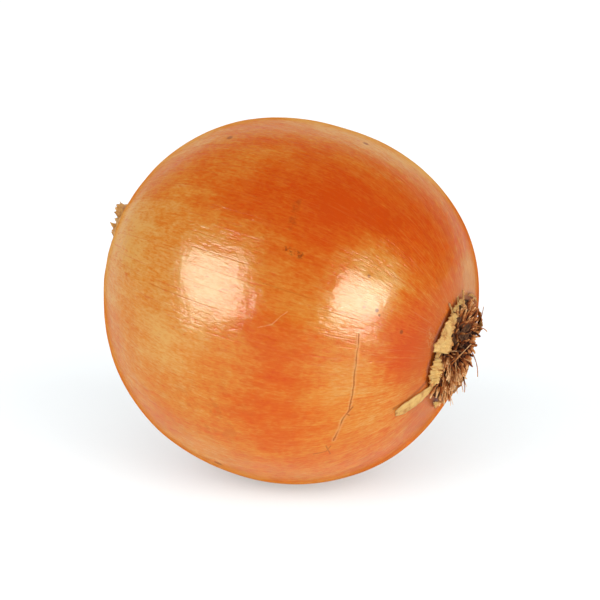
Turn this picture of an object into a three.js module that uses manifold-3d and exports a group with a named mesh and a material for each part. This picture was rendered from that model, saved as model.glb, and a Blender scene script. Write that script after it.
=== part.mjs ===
// A dry bulb onion lying on its side: the bulb with its short neck, the root plate with its dry roots,
// the torn bits of skin around the root plate, and the dry leaf ends at the neck.
//
// The onion is drawn in its own frame, in millimetres: X runs along its axis towards the root end, and
// Y and Z run across it. One group then tilts it, root end down, and sets it on its rest spot: in the
// finished frame +Z is up, +X runs from the neck to the roots, and the origin is the rest spot's centre.

import * as THREE from 'three';
import { mergeVertices } from 'three/addons/utils/BufferGeometryUtils.js';
import Module from 'manifold-3d';

const wasm = await Module();
wasm.setup();

// --- driving dimensions, in millimetres and degrees ---

const BULB = {
  radius: 43, // across the widest part
  neckHalf: 43.2, // from the widest part to the neck's shoulder
  rootHalf: 44.4, // from the widest part to the root pole
  neckPower: 2.14, // superellipse power of the neck half: 2 is an ellipse, more is squarer
  rootPower: 2.25,
  tilt: 10.8, // how far the root end dips below level
  sweepUp: 1.1, // how far the axis curves up at the poles
  sweepSide: 0.8, // how far it curves sideways at the poles
  segments: 60,
  rings: 34,
};
const NECK = {
  shoulder: 17.5, // radius where the neck leaves the bulb's curve
  tipRadius: 3.8,
  tipX: -47.2,
  power: 1.35, // 1 is a straight cone, more is hollower
  rings: 9,
  lean: 4.2, // how far the dried tip leans up
  leanFromX: -38,
};
const REST_DEPTH = 0.6; // how deep the rest spot flattens the bulb
const GAP = 0.3; // between pieces that touch

const PLATE = { radius: 11.6, seatX: 42.7, thickness: 1.9, rim: 0.6, segments: 48 };
const ROOT = { baseRadius: 0.55, tipRadius: 0.28, length: 3.5, droop: 0.6, sides: 5, steps: 4 };
// each ring of roots leans further out than the ring inside it
const ROOT_RINGS = [
  { radius: 1.9, count: 4, lean: 15 },
  { radius: 4.7, count: 8, lean: 37 },
  { radius: 7.5, count: 10, lean: 56 },
  { radius: 10.2, count: 14, lean: 72 },
];
const FLAP_THICKNESS = 0.45;
// torn skin: polar angles from the root pole, angles round the axis from the top, width and lift
const FLAPS = [
  { polar: [15.6, 30.2], turn: [-121.5, -119.5], width: 2.7, lift: 0 },
  { polar: [16.9, 16.9], turn: [-75, -39], width: 3.2, lift: 0.6 },
  { polar: [16.9, 16.9], turn: [-112, -84], width: 2.5, lift: 0.5 },
  { polar: [16.7, 16.7], turn: [-170, -150], width: 2.2, lift: 0.3 },
  { polar: [16.9, 16.9], turn: [-30, -8], width: 2.6, lift: 0.4 },
  { polar: [16.9, 16.9], turn: [14, 44], width: 2.4, lift: 0.4 },
  { polar: [16.9, 16.9], turn: [62, 84], width: 2.8, lift: 0.6 },
  { polar: [15.6, 25], turn: [98, 101], width: 2.4, lift: 0 },
  { polar: [16.9, 16.9], turn: [122, 160], width: 2.6, lift: 0.5 },
];
const LEAF = { thickness: 0.45, baseX: -44.2, width: 4 };
// dry leaf ends: angle round the neck from the top, length and how far the end flares out
const LEAVES = [
  { turn: -14, length: 4.6, flare: 0.5 },
  { turn: 62, length: 3.6, flare: 0.9 },
  { turn: 138, length: 4.4, flare: 0.4 },
  { turn: 206, length: 3.2, flare: 0.4 },
  { turn: 268, length: 3.0, flare: 0.1 },
];

const COLOUR = { skin: 0xd9702a, plate: 0x6b4224, root: 0x9a6a3c, flap: 0xe2b878, leaf: 0xb9783a };

// --- shared shape rules ---

const toRadians = THREE.MathUtils.degToRad;

// Curves a point with the bulb's swept axis, and leans it with the dried neck.
function sweep(point) {
  const along = (point.x / BULB.radius) ** 2;
  const past = Math.max(0, (NECK.leanFromX - point.x) / (NECK.leanFromX - NECK.tipX));
  const bent = past < 1 ? past ** 1.5 : (1 + past) / 2;
  point.z += BULB.sweepUp * along + NECK.lean * bent;
  point.y += BULB.sweepSide * along;
  return point;
}

// The bulb's half outline as a superellipse, at a polar angle from the root pole: [x, radius].
function outline(polar) {
  const cos = Math.cos(polar);
  const sin = Math.sin(polar);
  const half = cos > 0 ? BULB.rootHalf : BULB.neckHalf;
  const power = cos > 0 ? BULB.rootPower : BULB.neckPower;
  const reach = ((sin / BULB.radius) ** power + (Math.abs(cos) / half) ** power) ** (-1 / power);
  return [reach * cos, reach * sin];
}

// A point at a height over the bulb's surface. Polar is measured from the root pole, turn from the top.
function overSurface(polar, turn, height) {
  const step = 0.001;
  const [x, radius] = outline(polar);
  const [nextX, nextRadius] = outline(polar + step);
  const normal = new THREE.Vector2(nextRadius - radius, x - nextX).normalize();
  const out = radius + normal.y * height;
  return new THREE.Vector3(x + normal.x * height, out * Math.sin(turn), out * Math.cos(turn));
}

// A repeatable number from -1 to 1, so that no two roots are alike.
function jitter(seed) {
  const wave = Math.sin(seed * 127.1 + 311.7) * 43758.5453;
  return 2 * (wave - Math.floor(wave)) - 1;
}

// Moves each corner of a geometry, leaving only positions, with shared corners merged.
function reshape(geometry, move) {
  geometry.deleteAttribute('normal');
  geometry.deleteAttribute('uv');
  const merged = mergeVertices(geometry, 1e-4);
  const position = merged.getAttribute('position');
  const corner = new THREE.Vector3();
  for (let i = 0; i < position.count; i += 1) {
    corner.fromBufferAttribute(position, i);
    const moved = move(corner);
    position.setXYZ(i, moved.x, moved.y, moved.z);
  }
  merged.computeVertexNormals();
  return merged;
}

// A lathe turned so that its axis lies along X, from [x, radius] points that start and end on the axis.
function turned(points, segments) {
  const profile = points.map(([x, radius]) => new THREE.Vector2(radius, x));
  return new THREE.LatheGeometry(profile, segments).rotateZ(-Math.PI / 2);
}

function toManifold(geometry) {
  const index = geometry.getIndex();
  const mesh = new wasm.Mesh({
    numProp: 3,
    vertProperties: new Float32Array(geometry.getAttribute('position').array),
    triVerts: new Uint32Array(index.array),
  });
  return new wasm.Manifold(mesh);
}

function fromManifold(solid) {
  const mesh = solid.getMesh();
  const geometry = new THREE.BufferGeometry();
  geometry.setAttribute('position', new THREE.BufferAttribute(mesh.vertProperties, 3));
  geometry.setIndex(new THREE.BufferAttribute(mesh.triVerts, 1));
  geometry.computeVertexNormals();
  return geometry;
}

const onion = new THREE.Group();

function addPiece(name, geometry, colour, roughness) {
  const material = new THREE.MeshStandardMaterial({ color: colour, roughness, metalness: 0 });
  const mesh = new THREE.Mesh(geometry, material);
  mesh.name = name;
  onion.add(mesh);
}

// --- the bulb, with its neck and its rest spot ---

// The polar angle where the neck leaves the bulb's curve.
function shoulderPolar() {
  let polar = Math.PI;
  while (outline(polar)[1] < NECK.shoulder) polar -= 0.001;
  return polar;
}

const [shoulderX, shoulderRadius] = outline(shoulderPolar());

// The neck's radius at a place between the shoulder and its tip.
function neckRadius(x) {
  const part = THREE.MathUtils.clamp((x - NECK.tipX) / (shoulderX - NECK.tipX), 0, 1);
  return NECK.tipRadius + (shoulderRadius - NECK.tipRadius) * part ** NECK.power;
}

// From the closed tip of the neck, round the bulb, to the flat seat of the root plate.
function bulbProfile() {
  const points = [[NECK.tipX - 0.4, 0]];
  for (let ring = 0; ring < NECK.rings; ring += 1) {
    const x = NECK.tipX + (shoulderX - NECK.tipX) * (ring / NECK.rings);
    points.push([x, neckRadius(x)]);
  }
  const start = shoulderPolar();
  for (let ring = 0; ring < BULB.rings; ring += 1) {
    const [x, radius] = outline(start * (1 - ring / BULB.rings));
    if (x < PLATE.seatX - GAP) points.push([x, radius]);
  }
  const seatShare = 1 - (PLATE.seatX / BULB.rootHalf) ** BULB.rootPower;
  points.push([PLATE.seatX, BULB.radius * seatShare ** (1 / BULB.rootPower)]);
  points.push([PLATE.seatX, 0]);
  return points;
}

// The lowest point of the tilted bulb, in the onion's own frame.
function lowestPoint(down) {
  let lowest = null;
  for (let polar = 60; polar <= 120; polar += 0.05) {
    const point = sweep(overSurface(toRadians(polar), Math.PI, 0));
    if (!lowest || point.dot(down) > lowest.dot(down)) lowest = point;
  }
  return lowest;
}

const tilt = toRadians(BULB.tilt);
onion.rotation.y = tilt;
const lowest = lowestPoint(new THREE.Vector3(Math.sin(tilt), 0, -Math.cos(tilt)));
const touch = lowest.clone().applyEuler(onion.rotation);
onion.position.set(-touch.x, -touch.y, -touch.z - REST_DEPTH);
onion.updateMatrixWorld();

function bulbGeometry() {
  const whole = reshape(turned(bulbProfile(), BULB.segments), sweep);
  const floor = new THREE.BoxGeometry(60, 60, 10).translate(0, 0, -5);
  floor.applyMatrix4(onion.matrixWorld.clone().invert());
  const cutter = reshape(floor, (corner) => corner);
  return fromManifold(toManifold(whole).subtract(toManifold(cutter)));
}

addPiece('bulb', bulbGeometry(), COLOUR.skin, 0.35);

// --- the root plate ---

// The plate's domed outer face at a radius.
function plateTop(radius) {
  const edge = PLATE.seatX + GAP + PLATE.rim;
  return edge + (PLATE.thickness - PLATE.rim) * (1 - (radius / PLATE.radius) ** 2);
}

function plateProfile() {
  const points = [[PLATE.seatX + GAP, 0], [PLATE.seatX + GAP, PLATE.radius]];
  for (let step = 6; step >= 0; step -= 1) {
    const radius = (PLATE.radius * step) / 6;
    points.push([plateTop(radius), radius]);
  }
  return points;
}

addPiece('root_plate', reshape(turned(plateProfile(), PLATE.segments), sweep), COLOUR.plate, 0.9);

// --- the dry roots ---

// A tapered rod from a base point along a heading, drooping towards its tip.
function rootGeometry(base, heading, length) {
  const rod = new THREE.CylinderGeometry(ROOT.tipRadius, ROOT.baseRadius, length, ROOT.sides, ROOT.steps);
  rod.translate(0, length / 2, 0);
  const turn = new THREE.Quaternion().setFromUnitVectors(new THREE.Vector3(0, 1, 0), heading);
  return reshape(rod, (corner) => {
    const along = corner.y / length;
    const point = corner.clone().applyQuaternion(turn).add(base);
    point.z -= ROOT.droop * along ** 2;
    return sweep(point);
  });
}

let rootNumber = 0;
for (const ring of ROOT_RINGS) {
  for (let place = 0; place < ring.count; place += 1) {
    rootNumber += 1;
    const angle = (2 * Math.PI * (place + 0.22 * jitter(rootNumber))) / ring.count;
    const lean = toRadians(ring.lean + 4 * jitter(rootNumber + 50));
    const outward = new THREE.Vector3(0, Math.sin(angle), Math.cos(angle));
    const heading = new THREE.Vector3(Math.cos(lean), 0, 0).addScaledVector(outward, Math.sin(lean));
    const clear = GAP + ROOT.baseRadius * Math.sin(lean);
    const base = outward.clone().multiplyScalar(ring.radius);
    base.x = plateTop(ring.radius) + clear;
    const length = ROOT.length * (1 + 0.2 * jitter(rootNumber + 90));
    const name = `root_${String(rootNumber).padStart(2, '0')}`;
    addPiece(name, rootGeometry(base, heading, length), COLOUR.root, 0.9);
  }
}

// --- torn skin around the root plate ---

// A thin strip that follows the bulb just over its surface, narrower at its far end.
function flapGeometry({ polar, turn, width, lift }) {
  const [polarFrom, polarTo] = polar.map(toRadians);
  const [turnFrom, turnTo] = turn.map(toRadians);
  const alongAxis = polarTo > polarFrom;
  const strip = new THREE.BoxGeometry(1, 1, 1, 10, 2, 1).translate(0.5, 0, 0.5);
  return reshape(strip, (corner) => {
    const taper = 1 - 0.45 * (2 * corner.x - 1) ** 4;
    const across = corner.y * width * taper;
    const [, radius] = outline(polarFrom);
    let polarHere = polarFrom + (polarTo - polarFrom) * corner.x;
    let turnHere = turnFrom + (turnTo - turnFrom) * corner.x;
    if (alongAxis) turnHere -= across / outline(polarHere)[1];
    else polarHere += (across + 0.2 * width) * (Math.sin(polarHere) / radius);
    const raise = lift * (0.5 - corner.y);
    return sweep(overSurface(polarHere, turnHere, GAP + raise + corner.z * FLAP_THICKNESS));
  });
}

FLAPS.forEach((flap, i) => addPiece(`skin_flap_${i + 1}`, flapGeometry(flap), COLOUR.flap, 0.6));

// --- dry leaf ends at the neck ---

// A tapering strip that lies on the neck's flank and ends past its tip.
function leafGeometry({ turn, length, flare }) {
  const strip = new THREE.BoxGeometry(1, 1, 1, 6, 3, 1).translate(0.5, 0, 0.5);
  return reshape(strip, (corner) => {
    const taper = 1 - 0.6 * corner.x ** 2;
    const x = LEAF.baseX - length * corner.x;
    const clear = 1.6 * GAP + flare * corner.x ** 2;
    const out = neckRadius(x) + clear + corner.z * LEAF.thickness;
    const angle = toRadians(turn) - (corner.y * LEAF.width * taper) / out;
    return sweep(new THREE.Vector3(x, out * Math.sin(angle), out * Math.cos(angle)));
  });
}

LEAVES.forEach((leaf, i) => addPiece(`neck_leaf_${i + 1}`, leafGeometry(leaf), COLOUR.leaf, 0.7));

export default onion;
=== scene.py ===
"""A dry bulb onion lying on its side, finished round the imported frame.

The onion has an axis frame of its own, in which every shape is drawn: X points up across the axis, Y points
to the front and Z runs along the axis to the root end. The axis dips at the root end, as in the frame.
"""

import logging
import math
from dataclasses import dataclass
from enum import Enum
from functools import cached_property
from typing import Any, Optional, Sequence, Union

import bmesh
import bpy
from mathutils import Matrix, Vector, noise


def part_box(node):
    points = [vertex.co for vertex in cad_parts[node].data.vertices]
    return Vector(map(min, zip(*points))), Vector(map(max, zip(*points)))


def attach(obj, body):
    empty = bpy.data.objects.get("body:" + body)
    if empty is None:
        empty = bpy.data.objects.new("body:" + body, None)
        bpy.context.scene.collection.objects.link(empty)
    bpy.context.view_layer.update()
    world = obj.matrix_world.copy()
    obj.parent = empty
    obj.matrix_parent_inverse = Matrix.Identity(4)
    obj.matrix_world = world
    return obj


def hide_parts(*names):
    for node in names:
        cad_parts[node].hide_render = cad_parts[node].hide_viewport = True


MM = 0.001
BODY = "root"
LOG = logging.getLogger("onion")

# lengths along the bulb's axis from its widest part, as shares of its radius
NECK_HALF = 1.0047
ROOT_HALF = 1.0326
SEAT = 0.993
NECK_TIP = 1.0977

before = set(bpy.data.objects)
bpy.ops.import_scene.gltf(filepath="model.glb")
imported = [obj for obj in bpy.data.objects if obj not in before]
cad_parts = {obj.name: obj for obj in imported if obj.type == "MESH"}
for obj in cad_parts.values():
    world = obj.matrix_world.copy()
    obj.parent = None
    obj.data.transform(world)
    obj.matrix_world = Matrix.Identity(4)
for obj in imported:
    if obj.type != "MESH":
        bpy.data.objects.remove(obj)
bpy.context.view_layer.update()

Number = Union[float, "Wire"]
Colour = tuple[float, float, float]
Coat = tuple[Colour, "Wire"]
Path = tuple[tuple[float, float], ...]


class Slot(Enum):
    """The record's material slots."""

    SKIN = "bulb_skin"
    PLATE = "root_plate"
    ROOT = "dry_root"
    TORN = "torn_skin"
    LEAF = "neck_leaf"


# --- node trees written as expressions ---


class Wire:
    """One output socket of a node tree. Arithmetic on it adds Math nodes."""

    def __init__(self, graph: "Graph", socket: bpy.types.NodeSocket) -> None:
        """Wraps a socket of a graph."""
        self.graph = graph
        self.socket = socket

    def _math(self, operation: str, *values: Number) -> "Wire":
        """Adds one Math node on these values."""
        return self.graph.wire("ShaderNodeMath", {"operation": operation}, dict(enumerate(values)))

    def __add__(self, other: Number) -> "Wire":
        """Sum."""
        return self._math("ADD", self, other)

    def __radd__(self, other: Number) -> "Wire":
        """Sum, the other way round."""
        return self._math("ADD", other, self)

    def __sub__(self, other: Number) -> "Wire":
        """Difference."""
        return self._math("SUBTRACT", self, other)

    def __rsub__(self, other: Number) -> "Wire":
        """Difference, the other way round."""
        return self._math("SUBTRACT", other, self)

    def __mul__(self, other: Number) -> "Wire":
        """Product."""
        return self._math("MULTIPLY", self, other)

    def __rmul__(self, other: Number) -> "Wire":
        """Product, the other way round."""
        return self._math("MULTIPLY", other, self)

    def __truediv__(self, other: Number) -> "Wire":
        """Quotient."""
        return self._math("DIVIDE", self, other)

    def __rtruediv__(self, other: Number) -> "Wire":
        """Quotient, the other way round."""
        return self._math("DIVIDE", other, self)

    def __pow__(self, other: Number) -> "Wire":
        """Power."""
        return self._math("POWER", self, other)

    def __neg__(self) -> "Wire":
        """Opposite."""
        return self._math("MULTIPLY", self, -1.0)

    def above(self, other: Number) -> "Wire":
        """1 where this is greater than the other, else 0."""
        return self._math("GREATER_THAN", self, other)

    def least(self, other: Number) -> "Wire":
        """The smaller of the two."""
        return self._math("MINIMUM", self, other)

    def most(self, other: Number) -> "Wire":
        """The larger of the two."""
        return self._math("MAXIMUM", self, other)

    def size(self) -> "Wire":
        """Absolute value."""
        return self._math("ABSOLUTE", self)

    def root(self) -> "Wire":
        """Square root."""
        return self._math("SQRT", self)

    def sine(self) -> "Wire":
        """Sine."""
        return self._math("SINE", self)

    def cosine(self) -> "Wire":
        """Cosine."""
        return self._math("COSINE", self)

    def angle_to(self, other: Number) -> "Wire":
        """The angle whose tangent is this over the other."""
        return self._math("ARCTAN2", self, other)

    def clamped(self) -> "Wire":
        """This, kept between 0 and 1."""
        return self.most(0.0).least(1.0)

    def rise(self, low: float, high: float) -> "Wire":
        """Goes smoothly from 0 at low to 1 at high. High may be the lower number."""
        if low > high:
            return 1.0 - self.rise(high, low)
        settings = {"interpolation_type": "SMOOTHSTEP"}
        return self.graph.wire("ShaderNodeMapRange", settings, {"Value": self, 1: low, 2: high})

    def split(self) -> tuple["Wire", "Wire", "Wire"]:
        """The three parts of a vector."""
        node = self.graph.add("ShaderNodeSeparateXYZ", {}, {0: self})
        return tuple(Wire(self.graph, out) for out in node.outputs)


class Graph:
    """Builds one node tree."""

    def __init__(self, tree: bpy.types.NodeTree) -> None:
        """Starts on an empty tree."""
        self.tree = tree

    def add(
        self, kind: str, settings: Optional[dict] = None, inputs: Optional[dict] = None
    ) -> bpy.types.Node:
        """Adds a node.

        Args:
            kind: The node's type.
            settings: Its properties, set first. A ramp's stops are under "stops".
            inputs: Its sockets, by name or number, each with a value or a Wire.

        Returns:
            The node.
        """
        node = self.tree.nodes.new(kind)
        for name, value in (settings or {}).items():
            if name == "stops":
                self._set_stops(node.color_ramp, value)
            else:
                setattr(node, name, value)
        for key, value in (inputs or {}).items():
            socket = node.inputs[key]
            if isinstance(value, Wire):
                self.tree.links.new(value.socket, socket)
            elif socket.type == "RGBA" and len(value) == 3:
                socket.default_value = (*value, 1.0)
            else:
                socket.default_value = value
        return node

    @staticmethod
    def _set_stops(ramp: bpy.types.ColorRamp, stops: Sequence[tuple[float, Colour]]) -> None:
        """Sets a ramp's stops from (place, colour) pairs."""
        while len(ramp.elements) > 1:
            ramp.elements.remove(ramp.elements[-1])
        for number, (place, colour) in enumerate(stops):
            stop = ramp.elements[0] if number == 0 else ramp.elements.new(place)
            stop.position = place
            stop.color = (*colour, 1.0)

    def wire(
        self,
        kind: str,
        settings: Optional[dict] = None,
        inputs: Optional[dict] = None,
        output: Union[int, str] = 0,
    ) -> Wire:
        """Adds a node and returns one of its outputs."""
        return Wire(self, self.add(kind, settings, inputs).outputs[output])

    def join(self, x: Number, y: Number, z: Number) -> Wire:
        """A vector of three values."""
        return self.wire("ShaderNodeCombineXYZ", {}, {0: x, 1: y, 2: z})

    def vector(self, operation: str, first: Any, second: Any, output: int = 0) -> Wire:
        """Adds a Vector Math node on two vectors."""
        return self.wire("ShaderNodeVectorMath", {"operation": operation}, {0: first, 1: second}, output)

    def scaled(self, vector: Any, factor: Number) -> Wire:
        """A vector times a number."""
        return self.wire("ShaderNodeVectorMath", {"operation": "SCALE"}, {0: vector, "Scale": factor})

    def noise(self, at: Wire, scale: float, detail: float = 2.0, roughness: float = 0.5) -> Wire:
        """Smooth noise, about 0 to 1 and 0.5 on average."""
        inputs = {"Vector": at, "Scale": scale, "Detail": detail, "Roughness": roughness}
        return self.wire("ShaderNodeTexNoise", {}, inputs)

    def blend(self, first: Any, second: Any, factor: Number) -> Wire:
        """Mixes two colours."""
        return self.wire("ShaderNodeMix", {"data_type": "RGBA"}, {0: factor, 6: first, 7: second}, 2)

    def ramp(self, value: Wire, stops: Sequence[tuple[float, Colour]]) -> Wire:
        """Turns a value into a colour."""
        return self.wire("ShaderNodeValToRGB", {"stops": stops}, {0: value})


class ShapeTree(Graph):
    """A Geometry Nodes tree with named inputs, which ends as one plain mesh."""

    def __init__(self, name: str) -> None:
        """Makes the tree with its material input and its output."""
        super().__init__(bpy.data.node_groups.new(name, "GeometryNodeTree"))
        interface = self.tree.interface
        interface.new_socket("Geometry", in_out="OUTPUT", socket_type="NodeSocketGeometry")
        interface.new_socket("Material", in_out="INPUT", socket_type="NodeSocketMaterial")
        self.entry = self.tree.nodes.new("NodeGroupInput")

    def input(self, name: str, kind: str = "Float") -> Wire:
        """Adds a named input and returns it."""
        self.tree.interface.new_socket(name, in_out="INPUT", socket_type=f"NodeSocket{kind}")
        return Wire(self, self.entry.outputs[name])

    def inputs(self, *names: str) -> tuple[Wire, ...]:
        """Adds several number inputs."""
        return tuple(self.input(name) for name in names)

    def store(self, geometry: Wire, name: str, value: Wire, kind: str = "FLOAT") -> Wire:
        """Keeps a value on each point as a named attribute."""
        settings = {"data_type": kind, "domain": "POINT"}
        inputs = {0: geometry, "Name": name, "Value": value}
        return self.wire("GeometryNodeStoreNamedAttribute", settings, inputs)

    def recall(self, name: str, kind: str = "FLOAT") -> Wire:
        """Reads a named attribute."""
        return self.wire("GeometryNodeInputNamedAttribute", {"data_type": kind}, {"Name": name})

    def chance(self, low: Number, high: Number, seed: Number) -> Wire:
        """An even random value for each point."""
        return self.wire("FunctionNodeRandomValue", {"data_type": "FLOAT"}, {2: low, 3: high, 8: seed}, 1)

    def finish(self, geometry: Wire) -> None:
        """Ends the tree: instances made real, smooth shading and the material."""
        real = self.wire("GeometryNodeRealizeInstances", {}, {0: geometry})
        smooth = self.wire("GeometryNodeSetShadeSmooth", {}, {0: real})
        material = Wire(self, self.entry.outputs["Material"])
        dressed = self.wire("GeometryNodeSetMaterial", {}, {0: smooth, "Material": material})
        self.add("NodeGroupOutput", {}, {0: dressed})

    def make(self, name: str, values: dict[str, Any]) -> bpy.types.Object:
        """Runs the tree and keeps its result as a plain mesh.

        Args:
            name: The piece's name.
            values: A value for each named input.

        Returns:
            The piece, with no modifier left on it.
        """
        piece = bpy.data.objects.new(name, bpy.data.meshes.new(name))
        bpy.context.scene.collection.objects.link(piece)
        modifier = piece.modifiers.new("shape", "NODES")
        modifier.node_group = self.tree
        for item in self.tree.interface.items_tree:
            if item.in_out == "INPUT" and item.name in values:
                modifier[item.identifier] = values[item.name]
        depsgraph = bpy.context.evaluated_depsgraph_get()
        evaluated = piece.evaluated_get(depsgraph)
        mesh = bpy.data.meshes.new_from_object(
            evaluated, preserve_all_data_layers=True, depsgraph=depsgraph
        )
        mesh.name = name
        piece.modifiers.remove(modifier)
        piece.data = mesh
        return piece


def new_material(name: str) -> tuple[bpy.types.Material, Graph]:
    """Makes an empty node material and a graph to fill it with."""
    material = bpy.data.materials.new(name)
    material.use_nodes = True
    material.node_tree.nodes.clear()
    return material, Graph(material.node_tree)


def end_material(graph: Graph, inputs: dict[str, Any]) -> None:
    """Ends a material in a Principled shader with these inputs."""
    shader = graph.wire("ShaderNodeBsdfPrincipled", {}, inputs)
    graph.add("ShaderNodeOutputMaterial", {}, {"Surface": shader})


# --- the bulb's own frame and outline ---


@dataclass(frozen=True)
class BulbForm:
    """The bulb's outline and its place. Lengths are in metres, angles in radians."""

    radius: float
    neck_half: float
    root_half: float
    seat: float
    neck_tip: float
    tilt: float = math.radians(10.8)
    neck_power: float = 2.14
    root_power: float = 2.25
    sweep_up: float = 1.1 * MM
    sweep_side: float = 0.8 * MM
    shoulder: float = 17.5 * MM
    tip_radius: float = 3.8 * MM
    lean: float = 4.2 * MM
    lean_from: float = 38 * MM

    def outline(self, polar: float) -> tuple[float, float]:
        """The superellipse at a polar angle from the root pole.

        Args:
            polar: The angle from the root pole.

        Returns:
            The distance along the axis and the radius.
        """
        cos, sin = math.cos(polar), math.sin(polar)
        half = self.root_half if cos > 0 else self.neck_half
        power = self.root_power if cos > 0 else self.neck_power
        reach = ((sin / self.radius) ** power + (abs(cos) / half) ** power) ** (-1 / power)
        return reach * cos, reach * sin

    def sweep(self, point: Vector) -> Vector:
        """Curves a point with the bulb's axis, and leans it with the neck."""
        along = (point.z / self.radius) ** 2
        past = max(0.0, (-self.lean_from - point.z) / (-self.lean_from - self.neck_tip))
        bent = past**1.5 if past < 1 else (1 + past) / 2
        return point + Vector((self.sweep_up * along + self.lean * bent, -self.sweep_side * along, 0))

    def over(self, polar: float, turn: float, height: float) -> Vector:
        """A swept point at a height over the skin.

        Args:
            polar: The angle from the root pole.
            turn: The angle round the axis, from the top towards the front.
            height: The height over the skin.

        Returns:
            The point in the axis frame.
        """
        step = 0.001
        along, radius = self.outline(polar)
        next_along, next_radius = self.outline(polar + step)
        normal = Vector((next_radius - radius, along - next_along)).normalized()
        out = radius + normal.y * height
        point = Vector((out * math.cos(turn), out * math.sin(turn), along + normal.x * height))
        return self.sweep(point)

    @cached_property
    def shoulder_polar(self) -> float:
        """The polar angle where the neck begins."""
        polar = math.pi
        while self.outline(polar)[1] < self.shoulder:
            polar -= 0.001
        return polar

    @cached_property
    def shoulder_along(self) -> float:
        """The distance along the axis where the neck begins."""
        return self.outline(self.shoulder_polar)[0]

    @cached_property
    def turned(self) -> Matrix:
        """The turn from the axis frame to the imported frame."""
        cos, sin = math.cos(self.tilt), math.sin(self.tilt)
        return Matrix(((sin, 0, cos), (0, -1, 0), (cos, 0, -sin)))

    @cached_property
    def centre(self) -> Vector:
        """The bulb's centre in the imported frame, over the rest spot and under the highest point."""
        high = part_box("bulb")[1]
        ring = [math.radians(60 + 0.05 * step) for step in range(1201)]
        under = [self.turned @ self.over(polar, math.pi, 0) for polar in ring]
        above = [self.turned @ self.over(polar, 0, 0) for polar in ring]
        bottom = min(under, key=lambda point: point.z)
        top = max(above, key=lambda point: point.z)
        return Vector((-bottom.x, -bottom.y, high[2] - top.z))

    @cached_property
    def placed(self) -> Matrix:
        """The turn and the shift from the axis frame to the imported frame."""
        return Matrix.Translation(self.centre) @ self.turned.to_4x4()

    @classmethod
    def from_frame(cls) -> "BulbForm":
        """Reads the bulb's sizes from the CAD boxes."""
        low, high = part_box("bulb")
        radius = (high[1] - low[1]) / 2
        return cls(
            radius=radius,
            neck_half=radius * NECK_HALF,
            root_half=radius * ROOT_HALF,
            seat=radius * SEAT,
            neck_tip=-radius * NECK_TIP,
        )


FORM = BulbForm.from_frame()


def add_shell(name: str, rows: Sequence[Sequence[Vector]], thickness: float) -> bpy.types.Object:
    """Makes a thin closed sheet from rows of points in the axis frame.

    Args:
        name: The piece's name.
        rows: The outer face's points, row by row, seen from outside with rows running right.
        thickness: The sheet's thickness, behind the outer face.

    Returns:
        The piece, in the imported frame.
    """
    tall, wide = len(rows), len(rows[0])
    place = FORM.placed
    outer = [place @ point for row in rows for point in row]
    inner = []
    for i in range(tall):
        for j in range(wide):
            down = outer[min(i + 1, tall - 1) * wide + j] - outer[max(i - 1, 0) * wide + j]
            across = outer[i * wide + min(j + 1, wide - 1)] - outer[i * wide + max(j - 1, 0)]
            inner.append(outer[i * wide + j] - down.cross(across).normalized() * thickness)
    count = tall * wide
    faces = []
    for i in range(tall - 1):
        for j in range(wide - 1):
            a, b = i * wide + j, i * wide + j + 1
            c, d = (i + 1) * wide + j + 1, (i + 1) * wide + j
            faces.append((a, d, c, b))
            faces.append((count + a, count + b, count + c, count + d))
    rim = [(0, j) for j in range(wide)] + [(i, wide - 1) for i in range(1, tall)]
    rim += [(tall - 1, j) for j in range(wide - 2, -1, -1)] + [(i, 0) for i in range(tall - 2, 0, -1)]
    for (i, j), (k, l) in zip(rim, rim[1:] + rim[:1]):
        a, b = i * wide + j, k * wide + l
        faces.append((a, b, count + b, count + a))
    return add_mesh(name, outer + inner, faces)


def add_mesh(
    name: str, points: Sequence[Vector], faces: Sequence[tuple[int, ...]]
) -> bpy.types.Object:
    """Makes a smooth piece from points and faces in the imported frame."""
    mesh = bpy.data.meshes.new(name)
    mesh.from_pydata(points, [], faces)
    mesh.shade_smooth()
    piece = bpy.data.objects.new(name, mesh)
    bpy.context.scene.collection.objects.link(piece)
    return piece


def fix_facing(piece: bpy.types.Object) -> None:
    """Turns a closed mesh's faces outward."""
    work = bmesh.new()
    work.from_mesh(piece.data)
    bmesh.ops.recalc_face_normals(work, faces=work.faces)
    work.to_mesh(piece.data)
    work.free()


def store_values(piece: bpy.types.Object, name: str, values: Sequence[float]) -> None:
    """Keeps one number for each point of a mesh."""
    layer = piece.data.attributes.new(name, "FLOAT", "POINT")
    layer.data.foreach_set("value", values)


def settle(piece: bpy.types.Object, slot: Slot, *nodes: str) -> bpy.types.Object:
    """Rides a piece on the onion, in place of CAD nodes, and reports it.

    Args:
        piece: The finished piece.
        slot: The material slot it stands for; not used.
        nodes: The CAD nodes that it stands for.

    Returns:
        The piece.
    """
    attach(piece, BODY)
    if nodes:
        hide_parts(*nodes)
    LOG.info("%s: %d faces", piece.name, len(piece.data.polygons))
    return piece


# --- finishes ---


@dataclass(frozen=True)
class Blemish:
    """A round mark on the skin. Angles are in degrees, polar from the root pole and turn from the top."""

    polar: float
    turn: float
    radius: float
    strength: float = 1.0

    @property
    def place(self) -> Vector:
        """The mark's centre in the axis frame, in bulb radii."""
        return FORM.over(math.radians(self.polar), math.radians(self.turn), 0) / FORM.radius


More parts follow.
